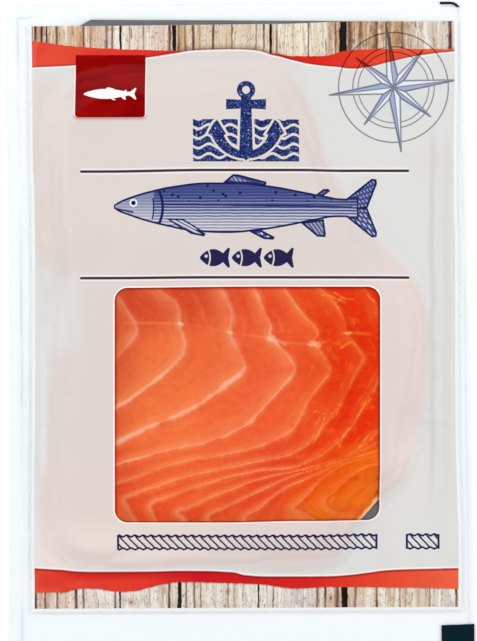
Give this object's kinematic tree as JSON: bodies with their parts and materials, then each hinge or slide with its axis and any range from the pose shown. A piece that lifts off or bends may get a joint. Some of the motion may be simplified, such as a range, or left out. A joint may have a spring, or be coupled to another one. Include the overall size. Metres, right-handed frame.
{
  "type": "vacuum pack of smoked salmon",
  "caption": "Flat vacuum pack of sliced smoked salmon on a silver card board, under a printed film with a clear window.",
  "frame": {"origin": "middle of the pack's underside, on the surface it lies on", "axes": "+Z out of the printed front, +Y along the pack towards the top of its print, +X to the right of someone reading the front"},
  "size_m": [0.1494, 0.21, 0.009],
  "materials": {
    "printed_film": "clear film reverse-printed with planks, red waves and a pale panel, and an unprinted window",
    "clear_film": "clear glossy film",
    "silver_board": "card laminated with dull silver foil",
    "salmon": "moist orange flesh with pale fat lines"
  },
  "bodies": {
    "root": {"front_film": "printed_film", "back_film": "clear_film", "backing_board": "silver_board", "salmon_slices": "salmon"}
  },
  "joints": []
}
